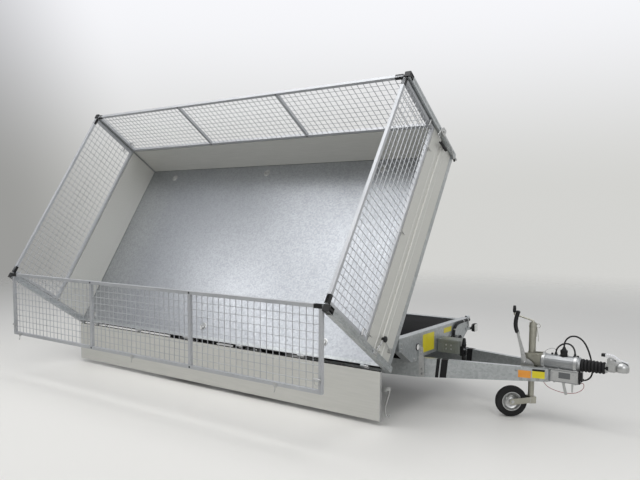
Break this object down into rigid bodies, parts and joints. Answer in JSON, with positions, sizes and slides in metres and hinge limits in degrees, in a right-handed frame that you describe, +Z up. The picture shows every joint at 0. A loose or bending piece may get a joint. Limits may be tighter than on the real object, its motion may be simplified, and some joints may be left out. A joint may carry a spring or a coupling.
{
  "type": "three-way dump trailer",
  "caption": "Twin-axle dump trailer with drawbar, jockey wheel, telescopic ram, drop sides and hinged mesh cage, its bed tipped to one side.",
  "frame": {"origin": "on the floor, below the centre of the whole trailer as it stands with its bed tipped", "axes": "+X forward to the coupling, +Y to the left side, away from the tipping side, +Z up"},
  "size_m": [4.685, 2.3524, 2.4083],
  "materials": {
    "galvanised": "hot-dip galvanised steel",
    "lamp_red": "red lamp lens",
    "zinc_casting": "zinc plated casting",
    "rubber": "black rubber",
    "black_plastic": "moulded black plastic",
    "passivated_zinc": "yellow passivated zinc",
    "box_grey": "grey-green painted cover",
    "lamp_clear": "clear lamp lens",
    "galvanised_sheet": "smooth galvanised steel sheet",
    "aluminium": "anodised aluminium profile",
    "mesh_steel": "galvanised welded mesh",
    "tyre": "tyre rubber",
    "ram_chrome": "hard chrome ram stages"
  },
  "bodies": {
    "chassis": {"front_beam": "galvanised", "rear_beam": "galvanised", "side_rail_right": "galvanised", "side_rail_left": "galvanised", "drawbar_rail_right": "galvanised", "drawbar_rail_left": "galvanised", "ram_cradle": "galvanised", "axle_front": "galvanised", "axle_rear": "galvanised", "lamp_board": "galvanised", "tail_lamp_right": "lamp_red", "tail_lamp_left": "lamp_red", "overrun_housing": "zinc_casting", "bellows": "rubber", "coupling_head": "zinc_casting", "brake_lever": "black_plastic", "jockey_mast": "passivated_zinc", "jockey_crank": "black_plastic", "pump_box": "box_grey", "hand_pump": "black_plastic", "marker_lamp": "lamp_clear", "parked_plug": "black_plastic", "plug_cable": "rubber", "arch_cable": "rubber", "breakaway_cable": "rubber"},
    "bed": {"bed_frame": "galvanised", "bed_floor": "galvanised_sheet", "post_rear_right": "galvanised", "post_rear_left": "galvanised", "post_front_right": "galvanised", "post_front_left": "galvanised", "front_board": "aluminium", "mesh_front": "mesh_steel"},
    "right_board": {"drop_side_right": "aluminium"},
    "left_board": {"drop_side_left": "aluminium"},
    "rear_board": {"drop_side_rear": "aluminium"},
    "right_mesh": {"mesh_side_right": "mesh_steel"},
    "left_mesh": {"mesh_side_left": "mesh_steel"},
    "rear_mesh": {"mesh_rear": "mesh_steel"},
    "wheel_front_right": {"tyre_front_right": "tyre", "rim_front_right": "zinc_casting"},
    "wheel_front_left": {"tyre_front_left": "tyre", "rim_front_left": "zinc_casting"},
    "wheel_rear_right": {"tyre_rear_right": "tyre", "rim_rear_right": "zinc_casting"},
    "wheel_rear_left": {"tyre_rear_left": "tyre", "rim_rear_left": "zinc_casting"},
    "jockey_inner_tube": {"jockey_tube": "passivated_zinc"},
    "jockey_fork_body": {"jockey_fork": "passivated_zinc"},
    "jockey_wheel": {"jockey_tyre": "tyre", "jockey_rim": "zinc_casting"},
    "ram_barrel_body": {"ram_barrel": "galvanised"},
    "ram_stage_one": {"ram_stage_1": "ram_chrome"},
    "ram_stage_two": {"ram_stage_2": "ram_chrome"},
    "ram_rod_body": {"ram_rod": "ram_chrome"}
  },
  "joints": [
    {"name": "bed_tip", "type": "hinge", "parent": "chassis", "child": "bed", "pos_m": [-2.2975, -0.22826, 0.556], "axis": [1, 0, 0], "range_deg": [-56.7, 0]},
    {"name": "right_board_hinge", "type": "hinge", "parent": "bed", "child": "right_board", "pos_m": [-2.2975, -0.41295, 0.38958], "axis": [1, 0, 0], "range_deg": [-123.3, 0]},
    {"name": "left_board_hinge", "type": "hinge", "parent": "bed", "child": "left_board", "pos_m": [-2.2975, 0.58078, 1.90239], "axis": [-1, 0, 0], "range_deg": [0, 180]},
    {"name": "rear_board_hinge", "type": "hinge", "parent": "bed", "child": "rear_board", "pos_m": [-2.3325, 0.08391, 1.14598], "axis": [0, -0.549, -0.8358], "range_deg": [0, 180]},
    {"name": "right_mesh_hinge", "type": "hinge", "parent": "bed", "child": "right_mesh", "pos_m": [-2.2975, -1.14823, 0.89948], "axis": [-1, 0, 0], "range_deg": [-56.7, 60]},
    {"name": "left_mesh_hinge", "type": "hinge", "parent": "bed", "child": "left_mesh", "pos_m": [-2.2975, -0.1792, 2.37468], "axis": [1, 0, 0], "range_deg": [0, 116.7]},
    {"name": "rear_mesh_hinge", "type": "hinge", "parent": "bed", "child": "rear_mesh", "pos_m": [-2.31, -0.66372, 1.63708], "axis": [0, 0.549, 0.8358], "range_deg": [0, 116.7]},
    {"name": "front_right_wheel_spin", "type": "hinge", "parent": "chassis", "child": "wheel_front_right", "pos_m": [-0.2675, -0.19876, 0.245], "axis": [0, 1, 0], "continuous": true},
    {"name": "front_left_wheel_spin", "type": "hinge", "parent": "chassis", "child": "wheel_front_left", "pos_m": [-0.2675, 1.07124, 0.245], "axis": [0, 1, 0], "continuous": true},
    {"name": "rear_right_wheel_spin", "type": "hinge", "parent": "chassis", "child": "wheel_rear_right", "pos_m": [-1.0175, -0.19876, 0.245], "axis": [0, 1, 0], "continuous": true},
    {"name": "rear_left_wheel_spin", "type": "hinge", "parent": "chassis", "child": "wheel_rear_left", "pos_m": [-1.0175, 1.07124, 0.245], "axis": [0, 1, 0], "continuous": true},
    {"name": "jockey_slide", "type": "slide", "parent": "chassis", "child": "jockey_inner_tube", "axis": [0, 0, 1], "range_m": [-0.1, 0.045]},
    {"name": "jockey_swivel", "type": "hinge", "parent": "jockey_inner_tube", "child": "jockey_fork_body", "pos_m": [1.7205, 0.43624, 0.148], "axis": [0, 0, 1], "continuous": true},
    {"name": "jockey_wheel_spin", "type": "hinge", "parent": "jockey_fork_body", "child": "jockey_wheel", "pos_m": [1.61018, 0.35005, 0.11], "axis": [-0.6157, 0.788, 0], "continuous": true},
    {"name": "ram_swing", "type": "hinge", "parent": "chassis", "child": "ram_barrel_body", "pos_m": [-0.6425, 0.43624, 0.4], "axis": [1, 0, 0], "range_deg": [-21.83, 0]},
    {"name": "ram_slide_1", "type": "slide", "parent": "ram_barrel_body", "child": "ram_stage_one", "axis": [0, -0.3711, 0.9286], "range_m": [-0.2073, 0]},
    {"name": "ram_slide_2", "type": "slide", "parent": "ram_stage_one", "child": "ram_stage_two", "axis": [0, -0.3711, 0.9286], "range_m": [-0.2073, 0]},
    {"name": "ram_slide_3", "type": "slide", "parent": "ram_stage_two", "child": "ram_rod_body", "axis": [0, -0.3711, 0.9286], "range_m": [-0.2073, 0]}
  ],
  "couplings": [
    {"joint": "ram_swing", "follows": "bed_tip", "ratio": 0.38415},
    {"joint": "ram_slide_1", "follows": "bed_tip", "m_per_rad": 0.20894},
    {"joint": "ram_slide_2", "follows": "bed_tip", "m_per_rad": 0.20894},
    {"joint": "ram_slide_3", "follows": "bed_tip", "m_per_rad": 0.20894}
  ]
}
